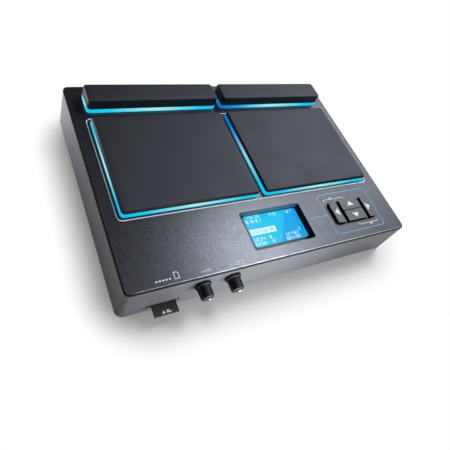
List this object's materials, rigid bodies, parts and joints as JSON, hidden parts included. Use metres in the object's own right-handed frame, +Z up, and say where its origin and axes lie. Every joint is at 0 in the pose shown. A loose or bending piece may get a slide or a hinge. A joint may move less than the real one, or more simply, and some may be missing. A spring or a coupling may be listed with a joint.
{
  "type": "electronic percussion pad",
  "caption": "Desk-top electronic percussion pad with rubber strike pads and raised bars on lit rings, a recessed display, push buttons, front knobs and a card slot.",
  "frame": {"origin": "centre of the four stand inserts, on the underside of the case", "axes": "+X to the right, +Y to the back, +Z up out of the panel"},
  "size_m": [0.343, 0.2588, 0.0655],
  "materials": {
    "case_plastic": "charcoal with a fine metallic speckle, satin",
    "panel_plastic": "charcoal with a fine metallic speckle, satin",
    "foot_rubber": "matt black",
    "black_screw": "black oxide",
    "brass_insert": "turned",
    "zinc": "zinc plated",
    "pad_rubber": "matt charcoal rubber with a fine grain",
    "strike_steel": "rolled sheet",
    "sensor_brass": "rolled disc",
    "foam": "open-cell foam",
    "light_ring": "translucent, lit cyan from inside",
    "led_tape": "white solder mask",
    "display_cover": "clear",
    "display_glass": "back-lit blue display",
    "circuit_board": "green solder mask",
    "ribbon": "grey flat cable",
    "button_plastic": "grey top, black sides",
    "socket_plastic": "moulded black",
    "knob_plastic": "satin black",
    "shaft_metal": "turned",
    "card_plastic": "black"
  },
  "bodies": {
    "case": {"lower_case": "case_plastic", "top_panel": "panel_plastic", "rubber_feet": "foot_rubber", "case_screws": "black_screw", "stand_inserts": "brass_insert", "board_screws": "zinc", "control_nuts": "zinc", "jack_nuts": "zinc", "card_socket": "zinc", "volume_control": "zinc", "phones_control": "zinc", "left_pad_cushion": "foam", "left_pad_ring": "light_ring", "right_pad_cushion": "foam", "right_pad_ring": "light_ring", "left_bar_cushion": "foam", "left_bar_ring": "light_ring", "right_bar_cushion": "foam", "right_bar_ring": "light_ring", "led_tapes": "led_tape", "display_cover": "display_cover", "display_glass": "display_glass", "display_board": "circuit_board", "button_board": "circuit_board", "control_board": "circuit_board", "card_board": "circuit_board", "main_board": "circuit_board", "display_ribbon": "ribbon", "tact_switches": "socket_plastic", "power_switch": "socket_plastic", "din_socket": "socket_plastic", "power_inlet": "socket_plastic", "trigger_jack": "socket_plastic", "phones_jack": "socket_plastic", "right_output_jack": "socket_plastic", "left_output_jack": "socket_plastic"},
    "left_pad": {"left_pad_rubber": "pad_rubber", "left_pad_plate": "strike_steel", "left_pad_sensor": "sensor_brass"},
    "right_pad": {"right_pad_rubber": "pad_rubber", "right_pad_plate": "strike_steel", "right_pad_sensor": "sensor_brass"},
    "left_bar": {"left_bar_rubber": "pad_rubber", "left_bar_plate": "strike_steel", "left_bar_sensor": "sensor_brass"},
    "right_bar": {"right_bar_rubber": "pad_rubber", "right_bar_plate": "strike_steel", "right_bar_sensor": "sensor_brass"},
    "left_button": {"left_button": "button_plastic"},
    "up_button": {"up_button": "button_plastic"},
    "down_button": {"down_button": "button_plastic"},
    "right_button": {"right_button": "button_plastic"},
    "volume_knob": {"volume_knob": "knob_plastic", "volume_shaft": "shaft_metal"},
    "phones_knob": {"phones_knob": "knob_plastic", "phones_shaft": "shaft_metal"},
    "memory_card": {"memory_card": "card_plastic"},
    "power_button": {"power_button": "knob_plastic"}
  },
  "joints": [
    {"name": "left_pad_strike", "type": "slide", "parent": "case", "child": "left_pad", "axis": [0, 0, -1], "range_m": [0, 0.0005], "stiffness_N_per_m": 20000, "springref_m": -0.0005, "deforming": ["left_pad_cushion"]},
    {"name": "right_pad_strike", "type": "slide", "parent": "case", "child": "right_pad", "axis": [0, 0, -1], "range_m": [0, 0.0005], "stiffness_N_per_m": 20000, "springref_m": -0.0005, "deforming": ["right_pad_cushion"]},
    {"name": "left_bar_strike", "type": "slide", "parent": "case", "child": "left_bar", "axis": [0, 0, -1], "range_m": [0, 0.0005], "stiffness_N_per_m": 20000, "springref_m": -0.0005, "deforming": ["left_bar_cushion"]},
    {"name": "right_bar_strike", "type": "slide", "parent": "case", "child": "right_bar", "axis": [0, 0, -1], "range_m": [0, 0.0005], "stiffness_N_per_m": 20000, "springref_m": -0.0005, "deforming": ["right_bar_cushion"]},
    {"name": "left_button_press", "type": "slide", "parent": "case", "child": "left_button", "axis": [0, 0, -1], "range_m": [0, 0.0008], "stiffness_N_per_m": 1500, "springref_m": -0.0006},
    {"name": "up_button_press", "type": "slide", "parent": "case", "child": "up_button", "axis": [0, 0, -1], "range_m": [0, 0.0008], "stiffness_N_per_m": 1500, "springref_m": -0.0006},
    {"name": "down_button_press", "type": "slide", "parent": "case", "child": "down_button", "axis": [0, 0, -1], "range_m": [0, 0.0008], "stiffness_N_per_m": 1500, "springref_m": -0.0006},
    {"name": "right_button_press", "type": "slide", "parent": "case", "child": "right_button", "axis": [0, 0, -1], "range_m": [0, 0.0008], "stiffness_N_per_m": 1500, "springref_m": -0.0006},
    {"name": "volume_knob_turn", "type": "hinge", "parent": "case", "child": "volume_knob", "pos_m": [-0.095, -0.128, 0.0315], "axis": [0, 1, 0], "range_deg": [-195, 105]},
    {"name": "phones_knob_turn", "type": "hinge", "parent": "case", "child": "phones_knob", "pos_m": [-0.063, -0.128, 0.0315], "axis": [0, 1, 0], "range_deg": [-195, 105]},
    {"name": "memory_card_pull", "type": "slide", "parent": "case", "child": "memory_card", "axis": [0, -1, 0], "range_m": [0, 0.025]},
    {"name": "power_button_press", "type": "slide", "parent": "case", "child": "power_button", "axis": [0, -1, 0], "range_m": [0, 0.002], "stiffness_N_per_m": 600, "springref_m": -0.001}
  ]
}
